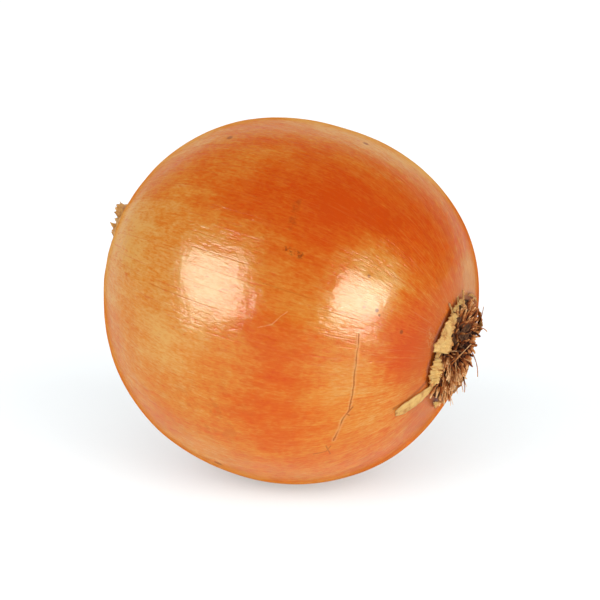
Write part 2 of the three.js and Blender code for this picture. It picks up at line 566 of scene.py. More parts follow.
class SkinCanvas:
    """The skin's own places and patterns, as wires of its material."""

    def __init__(self, graph: Graph) -> None:
        """Reads where a point of the skin lies: round the axis, along it and in bulb radii."""
        self.graph = graph
        grain = graph.wire("ShaderNodeAttribute", {"attribute_name": "grain"}, {}, "Vector")
        self.across, self.front, self.polar = grain.split()
        self.wander = graph.noise(grain, 2.2, 2.0) - 0.5
        place = graph.wire("ShaderNodeTexCoord", {}, {}, "Object")
        inputs = {0: place, 1: FORM.centre, 2: FORM.turned.to_euler(), 3: (FORM.radius,) * 3}
        self.where = graph.wire("ShaderNodeMapping", {"vector_type": "TEXTURE"}, inputs)
        inputs = {"Vector": self.where, "Scale": 14.0, "Detail": 3.0}
        wobble = graph.wire("ShaderNodeTexNoise", {}, inputs, "Color")
        centred = graph.vector("SUBTRACT", wobble, (0.5,) * 3)
        self.wavering = graph.vector("ADD", self.where, graph.scaled(centred, 0.014))

    def cloud(self, scale: float, detail: float, roughness: float = 0.5) -> Wire:
        """Soft noise over the skin."""
        return self.graph.noise(self.where, scale, detail, roughness)

    def veins(self, layer: int, count: float, stretch: float) -> Wire:
        """One layer of long lines from neck to root."""
        drift = 0.9 * self.wander * (layer + 1)
        along = self.polar * stretch + 7.0 * layer
        at = self.graph.join(self.across * count + drift, self.front * count - drift, along)
        return self.graph.noise(at, 1.0, 2.0, 0.55)

    def dashes(self, count: float, stretch: float, shift: float, twist: float = 0.0) -> Wire:
        """Noise drawn out into short strokes along the veins.

        Args:
            count: How fine the strokes are across the veins.
            stretch: How fine they are along them.
            shift: An offset, so that no two sets fall together.
            twist: How far the strokes turn off the veins.

        Returns:
            The noise, about 0 to 1.
        """
        across = self.across + twist * self.polar if twist else self.across
        at = self.graph.join(across * count + shift, self.front * count, self.polar * stretch + shift)
        return self.graph.noise(at, 1.0, 1.0)

    def creases(self, runs: Sequence[tuple[float, float, float]]) -> Wire:
        """Thin creases along the veins, each at a turn between two polar angles in degrees."""
        waver = 0.010 * (self.cloud(6.0, 3.0) - 0.5)
        total: Number = 0.0
        for turn, start, end in runs:
            cos, sin = math.cos(math.radians(turn)), math.sin(math.radians(turn))
            apart = (self.front * cos - self.across * sin + waver).size()
            side = (self.across * cos + self.front * sin).above(0.0)
            reach = self.polar.rise(math.radians(start - 2), math.radians(start + 2))
            reach = reach * self.polar.rise(math.radians(end + 2), math.radians(end - 2))
            total = apart.rise(0.0050, 0.001) * side * reach + total
        return total

    def marks(self, marks: Sequence[Blemish], edge: float = 1.0, full: float = 0.0) -> Wire:
        """How strongly each point is marked by any of these, from edge to full in shares of a radius."""
        total: Number = 0.0
        for mark in marks:
            apart = self.graph.vector("DISTANCE", self.where, mark.place, 1)
            total = (apart / mark.radius).rise(edge, full) * mark.strength + total
        return total

    def line(self, path: Path, width: float) -> Wire:
        """A thin soft line along a path of polar and turn stops in degrees, 1 at its middle."""
        stops = [Blemish(polar, turn, 0).place for polar, turn in path]
        nearest: Optional[Wire] = None
        for start, end in zip(stops, stops[1:]):
            span = end - start
            offset = self.graph.vector("SUBTRACT", self.wavering, start)
            along = (self.graph.vector("DOT_PRODUCT", offset, span, 1) / span.length_squared).clamped()
            apart = self.graph.vector("DISTANCE", offset, self.graph.scaled(span, along), 1)
            nearest = apart if nearest is None else nearest.least(apart)
        return nearest.rise(width, width * 0.25)


@dataclass(frozen=True)
class SkinGrain:
    """The fine patterns that the skin's colour and relief share."""

    broad: Wire
    veins: Wire
    strokes: Wire
    weave: Wire
    crinkle: Wire
    mottle: Wire


@dataclass(frozen=True)
class SkinScars:
    """The marks that the skin's colour and relief share."""

    threads: Wire
    groove: Wire
    crack: Wire
    crack_lip: Wire
    speck: Wire
    scuff: Wire


@dataclass(frozen=True)
class SkinFinish:
    """The dry outer skin: silky, with fine veins that run from the neck to the root end."""

    name: str = "onion_skin"
    deep: Colour = (0.600, 0.066, 0.002)
    orange: Colour = (0.635, 0.118, 0.007)
    gold: Colour = (0.665, 0.215, 0.026)
    pale: Colour = (0.710, 0.350, 0.090)
    # The next three colours serve the skin's own marks and also painted light: the pale one the crack lip's
    # highlight, the darker two the shade round the root plate, flaps and strip.
    straw_and_glint: Colour = (0.840, 0.530, 0.230)
    brown_and_shade: Colour = (0.220, 0.042, 0.005)
    rust_and_shade: Colour = (0.480, 0.096, 0.006)
    roughness: float = 0.175
    vein_counts: tuple[float, float, float] = (20.0, 55.0, 125.0)
    vein_stretches: tuple[float, float, float] = (0.8, 1.5, 2.4)
    flush: tuple[Blemish, ...] = (
        Blemish(66, 34, 0.58, 0.46),
        Blemish(92, 42, 0.24, 0.25),
        Blemish(66, 88, 0.30, 0.24),
        Blemish(68, 106, 0.42, 0.20),
        Blemish(28, 68, 0.30, 0.40),
        Blemish(29, 84, 0.20, 0.20),
        Blemish(76, 78, 0.22, 0.22),
        Blemish(40, 22, 0.45, 0.26),
    )
    # Gold patches of the skin's own colour, and pale bands along the top, left and bottom rims that are
    # painted reflection of the bright surroundings at grazing angles.
    golden_and_rim_sheen: tuple[Blemish, ...] = (
        Blemish(108, 90, 0.95, 0.36),
        Blemish(118, 60, 0.60, 0.16),
        Blemish(91, 68, 0.34, 0.30),
        Blemish(54, 69, 0.18, 0.32),
        Blemish(92, 140, 0.45, 0.36),
        Blemish(132, 12, 0.50, 0.50),
        Blemish(49, 49, 0.32, 0.62),
        Blemish(47, 92, 0.28, 0.24),
        Blemish(38, 112, 0.36, 0.20),
        Blemish(22, -18, 0.20, 0.75),
        Blemish(124, 78, 0.14, 0.50),
        Blemish(90, -22, 0.66, 0.85),
        Blemish(64, -22, 0.50, 0.55),
        Blemish(118, -22, 0.48, 0.60),
        Blemish(140, 72, 0.50, 0.48),
        Blemish(64, 170, 0.60, 0.25),
    )
    spots: tuple[Blemish, ...] = (
        Blemish(49.2, 52.0, 0.010, 0.8),
        Blemish(47.2, 63.5, 0.009, 0.7),
        Blemish(43.2, 63.0, 0.011, 1.0),
        Blemish(42.0, 64.5, 0.008, 0.8),
        Blemish(33.2, 68.5, 0.011, 0.9),
        Blemish(74.2, -2.0, 0.018, 0.8),
        Blemish(111.0, 19.0, 0.018, 0.7),
        Blemish(88.0, 142.0, 0.026, 0.6),
        Blemish(60.0, -70.0, 0.020, 0.8),
        Blemish(96.0, -120.0, 0.018, 0.8),
        Blemish(52.0, -150.0, 0.016, 0.8),
    )
    stains: tuple[Blemish, ...] = (
        Blemish(86, 113, 0.42, 1.0),
        Blemish(100, 150, 0.5, 0.8),
        Blemish(80, -80, 0.5, 0.7),
    )
    grooves: tuple[tuple[float, float, float], ...] = (
        (69.0, 40, 58), (66.5, 62, 77), (76.6, 46, 57), (78.0, 86, 114), (62.5, 82, 102), (99.6, 42, 50),
        (-30.0, 60, 110), (-75.0, 35, 80), (-128.0, 70, 125), (150.0, 40, 85),
    )
    crack: Path = (
        (46.2, 74), (44.9, 84), (44.3, 93), (44.2, 101), (44.6, 106.5), (46.4, 111), (49.2, 121.5)
    )
    chip: Path = ((43.6, 105.5), (45.4, 108.5), (44.6, 109.5))
    nick: Path = ((55.5, 127.5), (51.8, 127.0), (50.2, 124.5))
    nick_across: Path = ((51.6, 124.0), (50.8, 129.5))
    scuff: tuple[Blemish, ...] = (Blemish(20.5, 68.0, 0.060, 1.0), Blemish(22.5, 62.0, 0.040, 0.8))
    strip_shade: Path = ((17.0, 106), (21.0, 111.5), (30.6, 115.2))
    scratch: Path = ((74.2, 79.6), (70.6, 77.6), (67.2, 72.6))
    smudge: Path = ((73.6, 54.6), (69.2, 55.0))
    smear: Path = ((77.5, 38), (75.5, 46), (72.0, 54))

    def build(self) -> bpy.types.Material:
        """Makes the material."""
        material, graph = new_material(self.name)
        skin = SkinCanvas(graph)
        grain, scars = self._grain(skin), self._scars(skin)
        colour = self._ground(skin, grain)
        coats = self._flecks(skin, scars) + self._wear_and_crack_shading(skin, grain, scars) + self._ends(skin)
        for paint, amount in coats:
            colour = graph.blend(colour, paint, amount)
        bump = self._relief(skin, grain, scars)
        satin = self.roughness + 0.08 * (grain.veins - 0.5) + 0.10 * grain.strokes
        satin = satin + 0.12 * (grain.mottle - 0.5) + 0.14 * self._near_neck(skin)
        look = {"Base Color": colour, "Roughness": satin, "Normal": bump}
        look |= {"IOR": 1.34, "Specular IOR Level": 0.34}
        silky = graph.wire("ShaderNodeBsdfPrincipled", {}, look)
        matt = graph.wire("ShaderNodeBsdfDiffuse", {}, {"Color": colour})
        facing = graph.wire("ShaderNodeLayerWeight", {}, {"Blend": 0.5}, "Facing")
        dressed = graph.wire("ShaderNodeMixShader", {}, {0: facing.rise(0.62, 0.90), 1: silky, 2: matt})
        graph.add("ShaderNodeOutputMaterial", {}, {"Surface": dressed})
        return material

    def _near_root(self, skin: SkinCanvas) -> Wire:
        """Rises towards the root end."""
        return skin.polar.rise(0.95, 0.30)

    def _near_neck(self, skin: SkinCanvas) -> Wire:
        """Rises towards the neck."""
        return skin.polar.rise(2.45, 2.95)

    def _grain(self, skin: SkinCanvas) -> SkinGrain:
        """The veins and the finer strokes between them."""
        counts = zip(self.vein_counts, self.vein_stretches)
        lines = [skin.veins(layer, count, stretch) for layer, (count, stretch) in enumerate(counts)]
        weave = 0.5 * skin.dashes(125.0, 44.0, 5.7, 0.10) + 0.5 * skin.dashes(82.0, 25.0, 1.9, -0.06)
        return SkinGrain(
            broad=lines[0],
            veins=0.42 * lines[0] + 0.36 * lines[1] + 0.22 * lines[2],
            strokes=skin.dashes(64.0, 13.0, 3.1) - 0.5,
            weave=weave - 0.5,
            crinkle=skin.cloud(26.0, 3.0, 0.6) - 0.5,
            mottle=skin.cloud(9.0, 5.0, 0.65),
        )

    def _scars(self, skin: SkinCanvas) -> SkinScars:
        """The threads, creases, crack and scuffs."""
        speck = skin.cloud(55.0, 3.0, 0.7).rise(0.44, 0.60)
        return SkinScars(
            threads=skin.dashes(100.0, 1.6, 2.3).rise(0.64, 0.72),
            groove=skin.creases(self.grooves),
            crack=skin.line(self.crack, 0.0062).most(skin.line(self.chip, 0.0060)),
            crack_lip=skin.line(self.crack, 0.018),
            speck=speck,
            scuff=skin.marks(self.scuff, 1.0, 0.3).clamped() * speck,
        )

    def _ground(self, skin: SkinCanvas, grain: SkinGrain) -> Wire:
        """The skin's colour from flushed to gold, with its veins, and pale rims that are painted
        reflection.
        """
        clouds = skin.cloud(1.9, 3.0, 0.55) - 0.5
        bands = skin.dashes(12.0, 4.0, 4.4) - 0.5
        warmth = 0.46 + 0.48 * clouds + 0.38 * (grain.mottle - 0.5) + 0.40 * bands
        # The marks below paint rim reflection as well as the skin's own gold patches.
        warmth = warmth + skin.marks(self.golden_and_rim_sheen).least(0.46) - skin.marks(self.flush)
        lines = 0.42 * (grain.veins - 0.5) + 0.30 * grain.strokes
        lines = lines + 0.85 * grain.weave + 0.35 * grain.crinkle
        contrast = 1.0 + 0.6 * self._near_root(skin)
        tone = warmth + contrast * lines + 0.20 * self._near_neck(skin)
        stops = [(0.0, self.deep), (0.33, self.orange), (0.66, self.gold), (1.0, self.pale)]
        return skin.graph.ramp(tone.clamped(), stops)

    def _flecks(self, skin: SkinCanvas, scars: SkinScars) -> list[Coat]:
        """Coats of the small marks that are spread all over."""
        dashes = skin.dashes(84.0, 5.0, 9.1).rise(0.60, 0.74)
        stain = skin.marks(self.stains) * skin.cloud(11.0, 4.0, 0.7).rise(0.50, 0.62)
        flecks = skin.dashes(70.0, 20.0, 9.7).rise(0.62, 0.78)
        freckles = skin.cloud(46.0, 2.0, 0.6).rise(0.71, 0.79)
        return [
            (self.pale, dashes * (0.08 + 0.22 * self._near_root(skin))),
            (self.deep, scars.threads * 0.28),
            (self.rust_and_shade, scars.groove * 0.38),
            (self.rust_and_shade, stain * 0.38),
            (self.deep, flecks * 0.45),
            (self.brown_and_shade, freckles * 0.22),
        ]

    def _wear_and_crack_shading(self, skin: SkinCanvas, grain: SkinGrain, scars: SkinScars) -> list[Coat]:
        """Coats of the single marks: spots, smears, nicks, scuffs and the crack, whose dark line is partly
        painted shade in the split and whose pale lip is partly painted highlight.
        """
        smear = skin.line(self.smear, 0.030) * grain.mottle.rise(0.46, 0.58)
        nick = skin.line(self.nick, 0.0055).most(skin.line(self.nick_across, 0.0060))
        return [
            (self.brown_and_shade, skin.marks(self.spots, 1.3, 0.5).clamped() * 0.9),
            (self.brown_and_shade, smear * 0.30),
            (self.brown_and_shade, skin.line(self.smudge, 0.026) * scars.speck * 0.85),
            (self.brown_and_shade, nick * 0.45),
            (self.pale, scars.scuff * 0.60),
            # The crack: its pale lip is partly paler skin and partly painted highlight on the lifted edge;
            # its dark line is partly painted shade in the split.
            (self.straw_and_glint, (scars.crack_lip - scars.crack).clamped() * 0.22),
            (self.brown_and_shade, scars.crack * 0.58),
            (self.straw_and_glint, skin.line(self.scratch, 0.0050) * 0.30),
        ]

    def _ends(self, skin: SkinCanvas) -> list[Coat]:
        """Coats of painted shade round the root plate, the torn flaps and the long strip, and the neck's
        own darker colour.
        """
        return [
            # Painted shade: a red-orange ring beside the root plate, where the plate shades the skin.
            (self.rust_and_shade, skin.polar.rise(0.62, 0.34) * 0.42),
            # Painted shade: a dark ring round the foot of the torn flaps and a dark line along the long
            # strip's upper edge stand in for their shadows on the skin.
            (self.brown_and_shade, skin.polar.rise(0.335, 0.288) * 0.38),
            (self.brown_and_shade, skin.line(self.strip_shade, 0.016) * 0.55),
            (self.brown_and_shade, self._near_neck(skin) * 0.25),
            (self.brown_and_shade, skin.polar.rise(2.86, 3.04) * 0.75),
        ]

    def _relief(self, skin: SkinCanvas, grain: SkinGrain, scars: SkinScars) -> Wire:
        """The skin's fine relief over slow swells."""
        height = 0.45 * grain.veins + 0.45 * grain.strokes + 0.95 * grain.weave + 0.3 * grain.broad
        height = height + 1.1 * grain.crinkle + 0.6 * grain.mottle
        height = height - scars.crack + 0.5 * scars.crack_lip
        height = height - 0.3 * scars.groove - 0.2 * scars.threads + 0.8 * scars.scuff
        swells = {"Strength": 0.35, "Distance": 0.9 * MM, "Height": skin.cloud(5.0, 2.0)}
        swelled = skin.graph.wire("ShaderNodeBump", {}, swells, "Normal")
        fine = {"Strength": 0.7, "Distance": 0.11 * MM, "Height": height, "Normal": swelled}
        return skin.graph.wire("ShaderNodeBump", {}, fine)


@dataclass(frozen=True)
class FibreFinish:
    """Dry roots: dull strands, each of its own tone, paler towards the broken ends and darker at the base
    with painted shade.
    """

    name: str = "dry_root"
    dark: Colour = (0.022, 0.004, 0.001)
    middle: Colour = (0.27, 0.060, 0.011)
    light: Colour = (0.60, 0.240, 0.074)
    pale: Colour = (0.84, 0.500, 0.230)

    def build(self) -> bpy.types.Material:
        """Makes the material."""
        material, graph = new_material(self.name)
        place = graph.wire("ShaderNodeTexCoord", {}, {}, "Object")
        tone = graph.wire("ShaderNodeAttribute", {"attribute_name": "tone"}, {}, "Fac")
        along = graph.wire("ShaderNodeAttribute", {"attribute_name": "along"}, {}, "Fac")
        streak = graph.noise(place, 1800.0, 3.0, 0.6)
        # Partly painted shade: each strand darkens towards its base, where the strands crowd. The light and
        # pale stops partly stand in for the strands' highlights, as the finish has almost no gloss.
        value = (tone + 0.80 * (along - 0.55) + 0.80 * (streak - 0.5)).clamped()
        stops = [(0.0, self.dark), (0.35, self.middle), (0.72, self.light), (1.0, self.pale)]
        colour = graph.ramp(value, stops)
        bump = graph.wire("ShaderNodeBump", {}, {"Strength": 0.6, "Distance": 0.1 * MM, "Height": streak})
        look = {"Base Color": colour, "Roughness": 0.8, "Normal": bump, "Specular IOR Level": 0.05}
        end_material(graph, look)
        return material


@dataclass(frozen=True)
class CorkFinish:
    """The root plate: dark, crumbly and dull."""

    name: str = "root_cork"
    dark: Colour = (0.028, 0.009, 0.003)
    light: Colour = (0.22, 0.080, 0.026)

    def build(self) -> bpy.types.Material:
        """Makes the material."""
        material, graph = new_material(self.name)
        place = graph.wire("ShaderNodeTexCoord", {}, {}, "Object")
        crumbs = graph.noise(place, 900.0, 5.0, 0.7)
        colour = graph.ramp(crumbs, [(0.35, self.dark), (0.70, self.light)])
        bump = graph.wire("ShaderNodeBump", {}, {"Strength": 0.9, "Distance": 0.3 * MM, "Height": crumbs})
        look = {"Base Color": colour, "Roughness": 0.9, "Normal": bump, "Specular IOR Level": 0.1}
        end_material(graph, look)
        return material


@dataclass(frozen=True)
class PaperFinish:
    """Torn dry skin or leaf: thin and matt, with fine lines along it, darker towards its long edges."""

    name: str
    ground: Colour
    light: Colour
    edge: Colour

    def build(self) -> bpy.types.Material:
        """Makes the material."""
        material, graph = new_material(self.name)
        place = graph.wire("ShaderNodeTexCoord", {}, {}, "Object")
        side = graph.wire("ShaderNodeAttribute", {"attribute_name": "side"}, {}, "Fac")
        end = graph.wire("ShaderNodeAttribute", {"attribute_name": "along"}, {}, "Fac")
        cloud = graph.noise(place, 420.0, 4.0, 0.6)
        stripes = graph.noise(graph.join(side * 9.0, end * 1.3, 0.0), 3.0, 3.0, 0.6)
        value = (0.5 + 1.3 * (stripes - 0.5) + 1.8 * (cloud - 0.5)).clamped()
        colour = graph.blend(self.ground, self.light, value)
        # Darker towards the long edges.
        rim = (side - 0.5).size().rise(0.40, 0.50)
        colour = graph.blend(colour, self.edge, rim * (0.35 + 0.5 * cloud))
        freckle = graph.noise(place, 900.0, 1.0).rise(0.76, 0.82)
        colour = graph.blend(colour, self.edge, freckle * 0.4)
        colour = graph.blend(colour, self.edge, cloud.rise(0.50, 0.36) * 0.50)
        height = stripes + 0.6 * cloud
        bump = graph.wire("ShaderNodeBump", {}, {"Strength": 0.9, "Distance": 0.24 * MM, "Height": height})
        look = {"Base Color": colour, "Roughness": 0.55, "Normal": bump, "Specular IOR Level": 0.18}
        end_material(graph, look)
        return material


STRAW_PAPER = PaperFinish(
    "torn_skin_paper",
    ground=(0.62, 0.280, 0.050),
    light=(0.84, 0.560, 0.190),
    edge=(0.46, 0.110, 0.012),
)
TAN_PAPER = PaperFinish(
    "neck_leaf_paper",
    ground=(0.54, 0.210, 0.030),
    light=(0.78, 0.430, 0.120),
    edge=(0.34, 0.09, 0.010),
)


# --- the bulb ---


@dataclass
class Bulb:
    """The bulb in its skin, with the shrivelled neck and the flat rest spot."""

    form: BulbForm = FORM
    segments: int = 480
    rings: int = 200
    swell: float = 0.45 * MM
    rib: float = 0.12 * MM
    ribs: float = 7.0
    fold: float = 0.16
    folds: float = 13.0

    def tree(self) -> ShapeTree:
        """Builds the rule for the bulb's shape."""
        shape = ShapeTree("bulb_shape")
        segments, rings = shape.input("Segments", "Int"), shape.input("Rings", "Int")
        radius, neck_half, root_half = shape.inputs("Radius", "Neck Half", "Root Half")
        neck_power, root_power = shape.inputs("Neck Power", "Root Power")
        seat, shoulder, shoulder_polar, shoulder_along = shape.inputs(
            "Seat", "Shoulder", "Shoulder Polar", "Shoulder Along"
        )
        tip, tip_radius = shape.inputs("Neck Tip", "Tip Radius")
        fold, folds = shape.inputs("Fold", "Folds")
        ball = shape.wire("GeometryNodeMeshUVSphere", {}, {0: segments, 1: rings, 2: 1.0})
        place = shape.wire("GeometryNodeInputPosition")
        x, y, z = place.split()
        sine = (x * x + y * y).root()
        clear = sine.most(1e-6)
        across, front = x / clear, y / clear
        polar = sine.angle_to(z)

        root_side = z.above(0.0)
        half = neck_half + (root_half - neck_half) * root_side
        power = neck_power + (root_power - neck_power) * root_side
        reach = ((sine / radius) ** power + (z.size() / half) ** power) ** (-1.0 / power)
        reach = reach + self._relief(shape, place, across, front, polar)
        in_neck = (polar - shoulder_polar).rise(-0.10, 0.16)
        part = ((math.pi - polar) / (math.pi - shoulder_polar)).most(0.0)
        cap = (1.0 - (1.0 - (part / 0.22).clamped()) ** 2.0).most(0.0).root()
        creases = 1.0 + fold * (1.0 - part) * (front.angle_to(across) * folds + part * 5.0).sine()
        ruffled = shape.noise(shape.join(across * 2.6, front * 2.6, part * 2.0), 1.0)
        ruffle = 1.0 + 0.6 * fold * (ruffled - 0.5)
        neck_out = (tip_radius * cap + (shoulder - tip_radius) * part**1.35) * creases * ruffle
        neck_along = tip + (shoulder_along - tip) * part
        out = reach * sine * (1.0 - in_neck) + neck_out * in_neck
        along = (reach * z * (1.0 - in_neck) + neck_along * in_neck).least(seat)

        up, side = self._sweep(shape, along, radius, tip)
        point = shape.join(out * across + up, out * front - side, along)
        grained = shape.store(ball, "grain", shape.join(across, front, polar), "FLOAT_VECTOR")
        shaped = shape.wire("GeometryNodeSetPosition", {}, {0: grained, "Position": point})
        turn, shift = shape.input("Turn", "Rotation"), shape.input("Centre", "Vector")
        moved = shape.wire("GeometryNodeTransform", {}, {0: shaped, "Translation": shift, "Rotation": turn})
        px, py, pz = shape.wire("GeometryNodeInputPosition").split()
        rested = shape.join(px, py, pz.most(0.0))
        shape.finish(shape.wire("GeometryNodeSetPosition", {}, {0: moved, "Position": rested}))
        return shape

    def _relief(self, shape: ShapeTree, place: Wire, across: Wire, front: Wire, polar: Wire) -> Wire:
        """Low swells all over and soft ribs from neck to root."""
        swell, rib, ribs = shape.inputs("Swell", "Rib", "Ribs")
        swells = (shape.noise(place, 1.7, 1.0) - 0.5) * 2.0 * swell
        at = shape.join(across * ribs, front * ribs, polar * 0.7)
        return (swells + (shape.noise(at, 1.0, 2.0) - 0.5) * 2.0 * rib) * polar.rise(0.45, 0.95)

    def _sweep(self, shape: ShapeTree, along: Wire, radius: Wire, tip: Wire) -> tuple[Wire, Wire]:
        """How far the swept axis and the leaning neck carry a point up and to the side."""
        up, side, lean, lean_from = shape.inputs("Sweep Up", "Sweep Side", "Lean", "Lean From")
        square = (along / radius) ** 2.0
        past = ((-along - lean_from) / (-tip - lean_from)).most(0.0)
        return up * square + lean * past.least(1.0) ** 1.5, side * square

    def build(self, material: bpy.types.Material) -> bpy.types.Object:
        """Makes the bulb."""
        form = self.form
        polar = form.shoulder_polar
        values = {
            "Material": material,
            "Segments": self.segments,
            "Rings": self.rings,
            "Radius": form.radius,
            "Neck Half": form.neck_half,
            "Root Half": form.root_half,
            "Neck Power": form.neck_power,
            "Root Power": form.root_power,
            "Seat": form.seat,
            "Shoulder": form.outline(polar)[1],
            "Shoulder Polar": polar,
            "Shoulder Along": form.outline(polar)[0],
            "Neck Tip": form.neck_tip,
            "Tip Radius": form.tip_radius,
            "Sweep Up": form.sweep_up,
            "Sweep Side": form.sweep_side,
            "Lean": form.lean,
            "Lean From": form.lean_from,
            "Fold": self.fold,
            "Folds": self.folds,
            "Swell": self.swell,
            "Rib": self.rib,
            "Ribs": self.ribs,
            "Turn": form.turned.to_euler(),
            "Centre": form.centre,
        }
        piece = self.tree().make("onion_bulb", values)
        return settle(piece, Slot.SKIN, "bulb")


# --- the root end ---


@dataclass
class RootPlate:
    """The corky disc under the roots."""

    radius: float = 11.8 * MM
    crown: float = 1.9 * MM
    rim: float = 0.8 * MM
    rings: int = 26
    spokes: int = 90
    rough: float = 0.45 * MM

    def top(self, radius: float) -> float:
        """The plate's height along the axis at a radius."""
        share = min(1.0, radius / self.radius)
        return FORM.seat + self.rim + (self.crown - self.rim) * (1 - share**2)

    def build(self, material: bpy.types.Material) -> bpy.types.Object:
        """Makes the plate."""
        points = [Vector((0, 0, self.top(0)))]
        for ring in range(1, self.rings + 1):
            for spoke in range(self.spokes):
                angle = 2 * math.pi * spoke / self.spokes
                radius = self.radius * ring / self.rings
                point = Vector((radius * math.cos(angle), radius * math.sin(angle), 0))
                point.z = self.top(radius) + self.rough * noise.fractal(point * 900, 0.7, 2.1, 4)
                points.append(point)
        for spoke in range(self.spokes):
            edge = points[1 + (self.rings - 1) * self.spokes + spoke]
            points.append(Vector((edge.x * 1.01, edge.y * 1.01, FORM.seat - 0.6 * MM)))
        points.append(Vector((0, 0, FORM.seat - 0.6 * MM)))
        faces = [(0, 1 + spoke, 1 + (spoke + 1) % self.spokes) for spoke in range(self.spokes)]
        for ring in range(self.rings):
            for spoke in range(self.spokes):
                a = 1 + ring * self.spokes + spoke
                b = 1 + ring * self.spokes + (spoke + 1) % self.spokes
                faces.append((a, a + self.spokes, b + self.spokes, b))
        last = len(points) - 1
        start = last - self.spokes
        faces += [(last, start + (spoke + 1) % self.spokes, start + spoke) for spoke in range(self.spokes)]
        place = FORM.placed
        piece = add_mesh("root_plate_cork", [place @ FORM.sweep(point) for point in points], faces)
        piece.data.materials.append(material)
        return settle(piece, Slot.PLATE, "root_plate")


@dataclass(frozen=True)
class Strands:
    """One growth of dry roots on the plate. Angles are in degrees."""

    name: str
    count: int
    seed: int
    inner: float
    outer: float
    lean_inner: float
    lean_outer: float
    length: tuple[float, float]
    thickness: tuple[float, float]
    tone: tuple[float, float]
    spread: float = 18.0
    swirl: float = 22.0
    droop: float = 0.15
    curl: float = 0.25
    turn: tuple[float, float] = (0.0, 360.0)


@dataclass(frozen=True)
class LooseRoot:
    """One loose root over the mat. Its three stops are radius in mm, turn in degrees and height in mm."""

    name: str
    stops: tuple[tuple[float, float, float], ...]
    thickness: float
    tone: float
    steps: int = 16
    sides: int = 8

    def _at(self, share: float) -> Vector:
        """A point on the root's middle line."""
        start, middle, end = (
            Vector((r * math.cos(math.radians(turn)), r * math.sin(math.radians(turn)), height)) * MM
            for r, turn, height in self.stops
        )
        return start * (1 - share) ** 2 + middle * 2 * share * (1 - share) + end * share**2

    def build(self, material: bpy.types.Material) -> bpy.types.Object:
        """Makes the root."""
        points: list[Vector] = []
        for step in range(self.steps + 1):
            share = step / self.steps
            here = FORM.sweep(self._at(share))
            along = (self._at(min(1.0, share + 0.02)) - self._at(max(0.0, share - 0.02))).normalized()
            first = along.orthogonal().normalized()
            second = along.cross(first)
            wide = self.thickness * (1 - 0.45 * share) * (0.9 + 0.35 * noise.noise(here * 900))
            for side in range(self.sides):
                angle = 2 * math.pi * side / self.sides
                points.append(here + first * wide * math.cos(angle) + second * 0.6 * wide * math.sin(angle))
        faces = [tuple(range(self.sides - 1, -1, -1))]
        for step in range(self.steps):
            for side in range(self.sides):
                a, b = step * self.sides + side, step * self.sides + (side + 1) % self.sides
                faces.append((a, b, b + self.sides, a + self.sides))
        last = self.steps * self.sides
        faces.append(tuple(range(last, last + self.sides)))
        place = FORM.placed
        piece = add_mesh(self.name, [place @ point for point in points], faces)
        store_values(piece, "tone", [self.tone] * len(points))
        store_values(piece, "along", [i // self.sides / self.steps for i in range(len(points))])
        piece.data.materials.append(material)
        return settle(piece, Slot.ROOT)


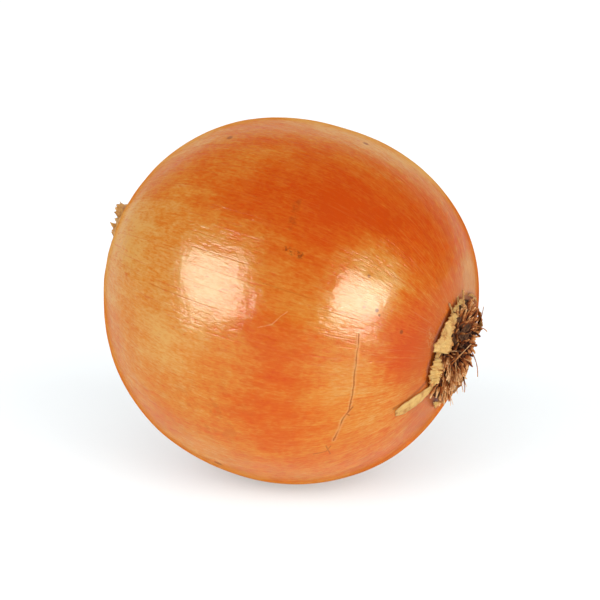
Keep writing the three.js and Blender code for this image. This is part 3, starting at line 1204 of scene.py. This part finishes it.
@dataclass
class RootTuft:
    """The mat of dry roots, in a few growths, and a few loose strands."""

    plate: RootPlate
    growths: tuple[Strands, ...] = (
        # The mat's low tones are partly painted shade, darkening the tuft's crowded middle.
        Strands(
            "root_mat", 130, 3, 0.5 * MM, 9.0 * MM, 46, 82, length=(1.8 * MM, 2.9 * MM),
            thickness=(0.36 * MM, 0.70 * MM), tone=(-0.12, 0.44), spread=20, swirl=60,
        ),
        Strands(
            "root_spikes", 96, 11, 5.5 * MM, 10.4 * MM, 72, 88, length=(2.2 * MM, 4.0 * MM),
            thickness=(0.36 * MM, 0.70 * MM), tone=(0.10, 0.66), spread=7, swirl=10, curl=0.10,
            turn=(-110.0, 36.0),
        ),
        Strands(
            "root_stubs", 88, 31, 4.8 * MM, 10.6 * MM, 58, 86, length=(2.2 * MM, 3.4 * MM),
            thickness=(0.46 * MM, 0.84 * MM), tone=(0.26, 0.90), spread=9, swirl=14, curl=0.08,
            turn=(84.0, 255.0),
        ),
        Strands(
            "root_curls", 46, 23, 1.5 * MM, 8.0 * MM, 46, 78, length=(2.4 * MM, 4.0 * MM),
            thickness=(0.16 * MM, 0.28 * MM), tone=(0.50, 0.98), spread=14, swirl=45, droop=0.45,
            curl=0.6, turn=(70.0, 215.0),
        ),
    )
    loose: tuple[LooseRoot, ...] = (
        LooseRoot(
            "root_loose_pale", ((6.3, 104, 45.3), (5.4, 74, 47.0), (4.2, 40, 47.8)), 0.26 * MM, 0.95
        ),
        LooseRoot(
            "root_loose_top", ((7.6, -38, 46.2), (9.3, -28, 46.8), (11.2, -18, 46.9)), 0.24 * MM, 0.35
        ),
        LooseRoot(
            "root_loose_side", ((6.2, -28, 46.6), (7.4, -45, 47.5), (7.9, -62, 47.9)), 0.20 * MM, 0.55
        ),
        LooseRoot(
            "root_loose_bend", ((5.6, 47, 46.6), (4.4, -120, 48.4), (7.6, -150, 48.9)), 0.27 * MM, 0.42
        ),
        LooseRoot(
            "root_loose_low", ((6.6, -170, 46.4), (8.0, -178, 47.6), (9.6, 178, 47.9)), 0.22 * MM, 0.35
        ),
    )

    def tree(self) -> ShapeTree:
        """Builds the rule for one growth of roots."""
        shape = ShapeTree("root_growth")
        count, seed = shape.input("Count", "Int"), shape.input("Seed", "Int")
        inner, outer, plate, base, crown = shape.inputs("Inner", "Outer", "Plate", "Base", "Crown")
        lean_inner, lean_outer, spread, swirl = shape.inputs("Lean Inner", "Lean Outer", "Spread", "Swirl")
        short, long, thin, thick = shape.inputs("Short", "Long", "Thin", "Thick")
        dull, bright, droop, curl = shape.inputs("Dull", "Bright", "Droop", "Curl")
        turn_from, turn_to = shape.inputs("Turn From", "Turn To")

        share = shape.chance(0.0, 1.0, seed)
        distance = (inner * inner + (outer * outer - inner * inner) * share).root()
        turn = shape.chance(turn_from, turn_to, seed + 1)
        height = base + crown * (1.0 - (distance / plate) ** 2.0)
        foot = shape.join(distance * turn.cosine(), distance * turn.sine(), height)
        dots = shape.wire("GeometryNodePoints", {}, {0: count, 1: foot})
        heading_turn = turn + shape.chance(-1.0, 1.0, seed + 2) * swirl
        lean = lean_inner + (lean_outer - lean_inner) * (distance / plate)
        lean = lean + shape.chance(-1.0, 1.0, seed + 3) * spread
        flat = lean.sine()
        rising = lean.cosine().most(0.02)
        heading = shape.join(flat * heading_turn.cosine(), flat * heading_turn.sine(), rising)
        dots = shape.store(dots, "heading", heading, "FLOAT_VECTOR")
        dots = shape.store(dots, "length", shape.chance(short, long, seed + 4))
        dots = shape.store(dots, "girth", shape.chance(thin, thick, seed + 5))
        dots = shape.store(dots, "tone", shape.chance(dull, bright, seed + 6))
        limits = {0: (-1.0, -1.0, -0.4), 1: (1.0, 1.0, 0.6), 8: seed + 7}
        bend = shape.wire("FunctionNodeRandomValue", {"data_type": "FLOAT_VECTOR"}, limits)
        dots = shape.store(dots, "bend", shape.scaled(bend, curl), "FLOAT_VECTOR")

        line = shape.wire("GeometryNodeCurvePrimitiveLine", {}, {"End": (0.0, 0.0, 1e-6)})
        strand = shape.wire("GeometryNodeResampleCurve", {}, {0: line, "Count": 8})
        grown = shape.wire("GeometryNodeInstanceOnPoints", {}, {0: dots, "Instance": strand})
        real = shape.wire("GeometryNodeRealizeInstances", {}, {0: grown})
        along = shape.wire("GeometryNodeSplineParameter")
        length = shape.recall("length")
        bent = shape.scaled(shape.recall("bend", "FLOAT_VECTOR"), along * along * length)
        straight = shape.scaled(shape.recall("heading", "FLOAT_VECTOR"), along * length)
        sag = shape.join(along * along * length * droop * -1.0, 0.0, 0.0)
        place = shape.wire("GeometryNodeInputPosition")
        inputs = {"Vector": shape.vector("ADD", place, straight), "Scale": 420.0, "Detail": 1.0}
        shiver = shape.wire("ShaderNodeTexNoise", {}, inputs, "Color")
        shiver = shape.scaled(shape.vector("SUBTRACT", shiver, (0.5,) * 3), along * length * 0.5)
        offset = shape.vector("ADD", shape.vector("ADD", straight, bent), shape.vector("ADD", sag, shiver))
        posed = shape.wire("GeometryNodeSetPosition", {}, {0: real, "Offset": offset})
        posed = shape.store(posed, "along", along)
        taper = shape.recall("girth") * (1.0 - 0.55 * along) * (0.8 + 0.5 * shape.noise(place, 700.0))
        section = shape.wire("GeometryNodeCurvePrimitiveCircle", {}, {"Resolution": 6, "Radius": 1.0})
        squashed = shape.wire("GeometryNodeTransform", {}, {0: section, "Scale": (1.0, 0.5, 1.0)})
        inputs = {0: posed, 1: squashed, "Scale": taper, "Fill Caps": True}
        skin = shape.wire("GeometryNodeCurveToMesh", {}, inputs)
        turned, centre = shape.input("Turned", "Rotation"), shape.input("Centre", "Vector")
        inputs = {0: skin, "Translation": centre, "Rotation": turned}
        shape.finish(shape.wire("GeometryNodeTransform", {}, inputs))
        return shape

    def build(self, material: bpy.types.Material) -> list[bpy.types.Object]:
        """Makes every growth, each standing for its share of the CAD roots."""
        tree = self.tree()
        roots = sorted(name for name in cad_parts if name.startswith("root_") and name[5:].isdigit())
        share = math.ceil(len(roots) / len(self.growths))
        pieces = []
        for number, growth in enumerate(self.growths):
            piece = tree.make(growth.name, self._values(growth, material))
            pieces.append(settle(piece, Slot.ROOT, *roots[number * share : (number + 1) * share]))
        pieces += [strand.build(material) for strand in self.loose]
        return pieces

    def _values(self, growth: Strands, material: bpy.types.Material) -> dict[str, Any]:
        """The tree's inputs for one growth."""
        plate = self.plate
        lift = FORM.sweep(Vector((0, 0, FORM.seat)))
        return {
            "Material": material,
            "Count": growth.count,
            "Seed": growth.seed,
            "Inner": growth.inner,
            "Outer": growth.outer,
            "Plate": plate.radius,
            "Base": FORM.seat + plate.rim - 0.35 * MM,
            "Crown": plate.crown - plate.rim,
            "Lean Inner": math.radians(growth.lean_inner),
            "Lean Outer": math.radians(growth.lean_outer),
            "Spread": math.radians(growth.spread),
            "Swirl": math.radians(growth.swirl),
            "Short": growth.length[0],
            "Long": growth.length[1],
            "Thin": growth.thickness[0],
            "Thick": growth.thickness[1],
            "Dull": growth.tone[0],
            "Bright": growth.tone[1],
            "Droop": growth.droop,
            "Curl": growth.curl,
            "Turn From": math.radians(growth.turn[0]),
            "Turn To": math.radians(growth.turn[1]),
            "Turned": FORM.turned.to_euler(),
            "Centre": FORM.centre + FORM.turned @ Vector((lift.x, lift.y, 0)),
        }


@dataclass(frozen=True)
class PaperStrip:
    """A torn strip of dry skin over the bulb. Angles are in degrees, turn from the top to the front."""

    name: str
    polar: tuple[float, float]
    turn: tuple[float, float]
    width: float
    rise: float = 0.3 * MM
    edge_rise: float = 0.0
    crumple: float = 0.25 * MM
    ragged: float = 0.25
    outline: tuple[float, ...] = (0.65, 1.0, 1.0, 0.65)
    ribs: float = 0.0
    seed: int = 1
    thickness: float = 0.13 * MM
    long_steps: int = 60
    wide_steps: int = 14

    def point(self, along: float, across: float) -> Vector:
        """A point of the strip, along from 0 to 1 and across from -1 to 1."""
        shake = Vector((self.seed * 3.7, along * 9, across * 1.4))
        torn = Vector((self.seed * 9.1, along * 7, math.copysign(4, across)))
        edge = 1 + self.ragged * noise.fractal(torn, 0.6, 2.3, 3)
        place = along * (len(self.outline) - 1)
        left = min(int(place), len(self.outline) - 2)
        wide = self.outline[left] + (self.outline[left + 1] - self.outline[left]) * (place - left)
        reach = 0.5 * self.width * across * edge * wide
        polar = math.radians(self.polar[0] + (self.polar[1] - self.polar[0]) * along)
        turn = math.radians(self.turn[0] + (self.turn[1] - self.turn[0]) * along)
        if abs(self.polar[1] - self.polar[0]) > 4:
            turn += reach / FORM.outline(polar)[1]
        else:
            polar += reach / FORM.radius
        lift = self.rise + self.edge_rise * wide * (0.5 - 0.5 * across) ** 1.5
        wrinkle = self.crumple * noise.fractal(shake, 0.7, 2.2, 4)
        wrinkle += self.ribs * math.sin(along * 44 + 3 * noise.noise(shake))
        return FORM.over(polar, turn, max(0.06 * MM, lift + wrinkle))

    def build(self, material: bpy.types.Material, slot: Slot, *nodes: str) -> bpy.types.Object:
        """Makes the strip."""
        tall, wide = self.long_steps + 1, self.wide_steps + 1
        spans = [
            (i / self.long_steps, 2 * j / self.wide_steps - 1) for i in range(tall) for j in range(wide)
        ]
        rows = [[self.point(*spans[i * wide + j]) for j in range(wide)] for i in range(tall)]
        piece = add_shell(self.name, rows, self.thickness)
        fix_facing(piece)
        store_values(piece, "side", [(across + 1) / 2 for _, across in spans] * 2)
        store_values(piece, "along", [along for along, _ in spans] * 2)
        piece.data.materials.append(material)
        return settle(piece, slot, *nodes)


@dataclass
class TornSkin:
    """The torn bits of skin round the root plate."""

    strips: tuple[PaperStrip, ...] = (
        PaperStrip(
            "skin_strip_long", (15.4, 30.4), (121.5, 119.3), 3.6 * MM, rise=0.24 * MM, ragged=0.10,
            crumple=0.10 * MM, outline=(0.6, 0.66, 0.8, 0.95, 1.0, 1.0, 0.92, 0.5), seed=2,
        ),
        PaperStrip(
            "skin_tab_upper", (16.4, 16.8), (33, 77), 3.7 * MM, rise=0.75 * MM, edge_rise=2.0 * MM,
            seed=3, crumple=0.60 * MM, outline=(0.2, 0.5, 0.62, 0.72, 0.95, 1.0),
        ),
        PaperStrip(
            "skin_tab_lower", (16.7, 16.9), (84, 114), 2.5 * MM, rise=0.7 * MM, edge_rise=1.6 * MM,
            seed=4, crumple=0.3 * MM, outline=(0.5, 0.95, 1.0, 0.8, 0.45), ribs=0.24 * MM,
        ),
        PaperStrip(
            "skin_tab_foot", (17.0, 17.0), (150, 170), 2.0 * MM, edge_rise=0.8 * MM, seed=5,
            ragged=0.6, outline=(0.3, 0.8, 1.0, 0.5),
        ),
        PaperStrip(
            "skin_frill_top", (16.6, 17.0), (8, 31), 1.4 * MM, edge_rise=0.8 * MM, seed=6, ragged=0.8,
            outline=(0.3, 0.8, 0.2, 0.9, 0.3),
        ),
        PaperStrip(
            "skin_frill_back", (16.9, 16.9), (-46, -12), 0.8 * MM, rise=0.12 * MM, seed=7, ragged=0.8,
            outline=(0.3, 1.0, 0.5, 0.9, 0.4),
        ),
        PaperStrip(
            "skin_tab_back", (16.9, 16.9), (-86, -60), 2.9 * MM, edge_rise=1.4 * MM, seed=8,
            ribs=0.1 * MM,
        ),
        PaperStrip(
            "skin_strip_back", (15.6, 25), (-101, -98), 2.4 * MM, rise=0.25 * MM, ragged=0.2, seed=9,
            outline=(0.8, 1.0, 0.9, 0.4),
        ),
        PaperStrip(
            "skin_tab_under", (16.9, 16.9), (-162, -120), 2.6 * MM, edge_rise=1.1 * MM, seed=10,
            ragged=0.5,
        ),
    )

    slivers: tuple[PaperStrip, ...] = (
        PaperStrip(
            "skin_sliver_1", (13.5, 20.3), (35, 32), 1.2 * MM, rise=0.5 * MM,
            outline=(1.0, 0.8, 0.55, 0.15), seed=21,
        ),
        PaperStrip(
            "skin_sliver_2", (13.5, 19.3), (25, 18), 1.1 * MM, rise=0.5 * MM,
            outline=(1.0, 0.7, 0.5, 0.15), seed=22,
        ),
        PaperStrip(
            "skin_sliver_3", (13.5, 19.6), (8, 6), 1.0 * MM, rise=0.5 * MM,
            outline=(1.0, 0.9, 0.5, 0.2), seed=23,
        ),
        PaperStrip(
            "skin_link", (16.2, 16.5), (77, 86), 1.3 * MM, rise=0.5 * MM, edge_rise=0.5 * MM, seed=24,
            outline=(1.0, 0.8, 0.8),
        ),
    )

    def build(self, material: bpy.types.Material) -> list[bpy.types.Object]:
        """Makes every strip in place of its CAD flap, and the slivers between them."""
        numbered = enumerate(self.strips, 1)
        strips = [strip.build(material, Slot.TORN, f"skin_flap_{i}") for i, strip in numbered]
        return strips + [sliver.build(material, Slot.TORN) for sliver in self.slivers]


@dataclass
class NeckLeaves:
    """The dry leaf ends that wrap and close the neck."""

    turns: tuple[float, ...] = (20, -62, -138, 154, 92)
    lengths: tuple[float, ...] = (6.5 * MM, 6.2 * MM, 6.8 * MM, 6.0 * MM, 5.7 * MM)
    closings: tuple[float, ...] = (0.4 * MM, 2.3 * MM, 2.0 * MM, 2.4 * MM, 0.9 * MM)
    spread: float = math.radians(50)
    base: float = 5.0 * MM
    sunk: float = 0.8 * MM
    clear: float = 0.7 * MM
    ripple: float = 0.9 * MM
    fold: float = 0.13
    folds: float = 13.0
    thickness: float = 0.15 * MM
    steps: int = 36

    def _row(self, number: int, along: float) -> list[Vector]:
        """One row of points across a leaf, from its root in the skin to its torn tip."""
        turn, length, closing = self.turns[number], self.lengths[number], self.closings[number]
        row = []
        for step in range(self.steps + 1):
            across = 2 * step / self.steps - 1
            tear = noise.fractal(Vector((across * 3.2, number * 3.1, 7.0)), 0.7, 2.2, 3)
            tip = length * (1 - 0.30 * across**2 + 0.22 * tear)
            depth = FORM.neck_tip + self.base - tip * along
            part = max(0.0, (depth - FORM.neck_tip) / (FORM.shoulder_along - FORM.neck_tip))
            angle = math.radians(turn) + across * self.spread * (1 - 0.25 * along)
            body = FORM.tip_radius + (FORM.shoulder - FORM.tip_radius) * part**1.35
            folds = 1 + self.fold * max(0.0, 1 - part) * math.sin(angle * self.folds + part * 5)
            lying = body * folds + self.clear * min(1.0, 4 * along) - self.sunk * max(0.0, 1 - 4 * along)
            free = max(0.0, (FORM.neck_tip + 1.0 * MM - depth) / (3 * MM))
            crease = noise.fractal(Vector((across * 2.6, along * 2.0, number * 2.3)), 0.8, 2.1, 4)
            out = max(0.6 * MM, lying + self.ripple * crease * along - closing * free**1.3)
            row.append(FORM.sweep(Vector((out * math.cos(angle), out * math.sin(angle), depth))))
        return row

    def build(self, material: bpy.types.Material) -> list[bpy.types.Object]:
        """Makes the leaves."""
        pieces = []
        for number in range(len(self.turns)):
            rows = [self._row(number, i / self.steps) for i in range(self.steps + 1)]
            piece = add_shell(f"neck_leaf_dry_{number + 1}", rows, self.thickness)
            fix_facing(piece)
            spans = range(self.steps + 1)
            store_values(piece, "side", [j / self.steps for _ in spans for j in spans] * 2)
            store_values(piece, "along", [i / self.steps for i in spans for _ in spans] * 2)
            piece.data.materials.append(material)
            pieces.append(settle(piece, Slot.LEAF, f"neck_leaf_{number + 1}"))
        return pieces


# --- the studio ---


@dataclass(frozen=True)
class SoftBox:
    """A soft box. Its direction is in the camera's right, up and back; its glows are radiances."""

    name: str
    towards: tuple[float, float, float]
    size: tuple[float, float]
    sheen: float
    fill: float
    roll: float = 0.0


@dataclass(frozen=True)
class FloorLight:
    """A wide soft light for the floor alone. Angles are in degrees, azimuth from the camera rightwards."""

    name: str
    azimuth: float
    elevation: float
    width: float
    power: float


@dataclass
class Studio:
    """A pale floor, two soft boxes and the camera."""

    azimuth: float = math.radians(25.7)
    elevation: float = math.radians(15.0)
    distance: float = 0.5
    lens: float = 125.7
    sensor: float = 36.0
    aside: float = 3.15 * MM
    box_distance: float = 0.35
    ambient: float = 0.97
    dim: float = 0.02
    bright: float = 0.8
    floor_colour: Colour = (0.280, 0.302, 0.310)
    floor_half: float = 6.0
    floor_seen: float = 0.40
    floor_lit: float = 0.16
    box_colour: Colour = (1.0, 0.97, 0.88)
    boxes: tuple[SoftBox, ...] = (
        SoftBox("left_box", (-0.710, 0.165, 0.690), (0.180, 0.225), 20.0, 0.0, 22.0),
        SoftBox("right_box", (0.60, -0.02, 0.80), (0.195, 0.180), 27.0, 0.1, -32.0),
    )
    floor_lights: tuple[FloorLight, ...] = (
        FloorLight("floor_front", 0.0, 30.0, 60.0, 4.2),
        FloorLight("floor_left", -50.0, 32.0, 40.0, 2.4),
        FloorLight("floor_right", 45.0, 30.0, 40.0, 2.3),
    )

    def _axes(self) -> tuple[Vector, Vector, Vector]:
        """The camera's right, up and back directions."""
        cos, sin = math.cos(self.elevation), math.sin(self.elevation)
        back = Vector((math.sin(self.azimuth) * cos, -math.cos(self.azimuth) * cos, sin))
        right = Vector((math.cos(self.azimuth), math.sin(self.azimuth), 0))
        return right, back.cross(right), back

    def build_camera(self) -> None:
        """Makes the camera."""
        right, up, back = self._axes()
        data = bpy.data.cameras.new("camera")
        data.lens = self.lens
        data.sensor_width = self.sensor
        camera = bpy.data.objects.new("camera", data)
        bpy.context.scene.collection.objects.link(camera)
        turn = Matrix((right, up, back)).transposed().to_4x4()
        place = FORM.centre + back * self.distance + right * self.aside
        camera.matrix_world = Matrix.Translation(place) @ turn
        bpy.context.scene.camera = camera

    def hang(self, box: SoftBox) -> None:
        """Hangs a soft box: one light for its sheen and one for its fill."""
        right, up, back = self._axes()
        way = (right * box.towards[0] + up * box.towards[1] + back * box.towards[2]).normalized()
        turn = way.to_track_quat("Z", "Y").to_matrix().to_4x4()
        turn = turn @ Matrix.Rotation(math.radians(box.roll), 4, "Z")
        for part, glow in (("sheen", box.sheen), ("fill", box.fill)):
            data = bpy.data.lights.new(f"{box.name}_{part}", "AREA")
            data.shape = "RECTANGLE"
            data.size, data.size_y = box.size
            data.energy = 4 * box.size[0] * box.size[1] * glow
            data.color = self.box_colour
            light = bpy.data.objects.new(data.name, data)
            light.visible_camera = False
            light.visible_diffuse = part == "fill"
            light.visible_glossy = part == "sheen"
            bpy.context.scene.collection.objects.link(light)
            light.matrix_world = Matrix.Translation(FORM.centre + way * self.box_distance) @ turn

    def build_floor(self) -> None:
        """Lays the pale floor and its own soft lights."""
        half = self.floor_half
        corners = [Vector((x * half, y * half, 0)) for x, y in ((-1, -1), (1, -1), (1, 1), (-1, 1))]
        floor = add_mesh("floor", corners, [(0, 1, 2, 3)])
        material, graph = new_material("pale_floor")
        seen = graph.wire("ShaderNodeLightPath", {}, {}, "Is Camera Ray")
        level = self.floor_lit + (self.floor_seen - self.floor_lit) * seen
        glow = {"Emission Color": graph.join(level, level, level), "Emission Strength": 1.0}
        end_material(graph, {"Base Color": self.floor_colour, "Roughness": 0.7, **glow})
        floor.data.materials.append(material)
        only_floor = bpy.data.collections.new("floor_lit")
        only_floor.objects.link(floor)
        for wide in self.floor_lights:
            data = bpy.data.lights.new(wide.name, "SUN")
            data.energy, data.angle = wide.power, math.radians(wide.width)
            light = bpy.data.objects.new(wide.name, data)
            bpy.context.scene.collection.objects.link(light)
            turn, rise = self.azimuth + math.radians(wide.azimuth), math.radians(wide.elevation)
            cos, sin = math.cos(rise), math.sin(rise)
            way = Vector((math.sin(turn) * cos, -math.cos(turn) * cos, sin))
            light.matrix_world = way.to_track_quat("Z", "Y").to_matrix().to_4x4()
            light.light_linking.receiver_collection = only_floor

    def build_world(self) -> None:
        """Makes the surroundings: bright behind the onion and darker at the front."""
        world = bpy.data.worlds.new("studio")
        world.use_nodes = True
        world.node_tree.nodes.clear()
        graph = Graph(world.node_tree)
        _, _, back = self._axes()
        way = graph.wire("ShaderNodeTexCoord", {}, {}, "Generated")
        behind = graph.vector("DOT_PRODUCT", way, -Vector((back.x, back.y, 0)).normalized(), 1)
        mirrored = self.dim + (self.bright - self.dim) * behind.rise(0.4, 1.0)
        sheen = graph.wire("ShaderNodeLightPath", {}, {}, "Is Glossy Ray")
        seen = graph.wire("ShaderNodeLightPath", {}, {}, "Is Camera Ray")
        level = sheen * mirrored + seen * 1.0 + (1.0 - sheen - seen) * self.ambient
        shade = graph.wire("ShaderNodeBackground", {}, {"Color": (1.0, 1.0, 1.0), "Strength": level})
        graph.add("ShaderNodeOutputWorld", {}, {"Surface": shade})
        world.cycles.sampling_method = "NONE"
        bpy.context.scene.world = world

    def build(self) -> None:
        """Makes the whole studio."""
        self.build_camera()
        self.build_floor()
        self.build_world()
        for box in self.boxes:
            self.hang(box)
        scene = bpy.context.scene
        scene.view_settings.view_transform = "Standard"
        scene.view_settings.look = "None"


def main() -> None:
    """Builds the studio and every piece of the onion."""
    logging.basicConfig(level=logging.INFO, format="%(name)s: %(message)s")
    Studio().build()
    Bulb().build(SkinFinish().build())
    plate = RootPlate()
    plate.build(CorkFinish().build())
    RootTuft(plate).build(FibreFinish().build())
    TornSkin().build(STRAW_PAPER.build())
    NeckLeaves().build(TAN_PAPER.build())


if __name__ == "__main__":
    main()
